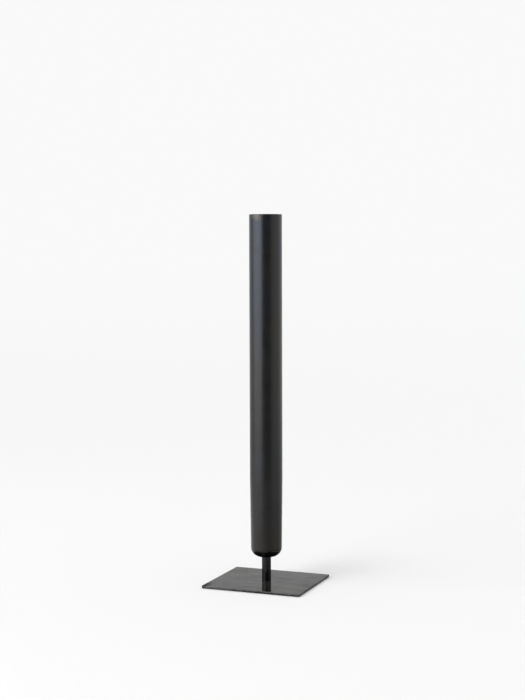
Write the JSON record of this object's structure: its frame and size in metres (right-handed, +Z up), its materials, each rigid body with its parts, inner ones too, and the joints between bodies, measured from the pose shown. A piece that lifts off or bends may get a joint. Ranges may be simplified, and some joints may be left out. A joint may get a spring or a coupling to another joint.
{
  "type": "candle holder",
  "caption": "Tall slim steel candle holder: a tube with a rounded foot, raised on a thin stem above a flat rectangular plate.",
  "frame": {"origin": "centre of the footprint, on the surface the holder stands on", "axes": "+Z up along the tube, +X along the base plate's long side"},
  "size_m": [0.09, 0.08, 0.324],
  "materials": {
    "tube_steel": "blackened steel, burnished and oiled to a dark satin gloss",
    "cup_steel": "blackened steel, satin, with a brighter turned lip",
    "stem_steel": "blackened steel rod, satin",
    "plate_steel": "blackened steel sheet, oiled, faintly mottled",
    "fastener_steel": "black oxide",
    "pad_rubber": "matt black rubber"
  },
  "bodies": {
    "root": {"candle_tube": "tube_steel", "candle_cup": "cup_steel", "saddle_washer": "fastener_steel", "lock_washer": "fastener_steel", "stem_nut": "fastener_steel", "stem": "stem_steel", "base_screw": "fastener_steel", "base_plate": "plate_steel", "pad_front_left": "pad_rubber", "pad_front_right": "pad_rubber", "pad_back_left": "pad_rubber", "pad_back_right": "pad_rubber"}
  },
  "joints": []
}
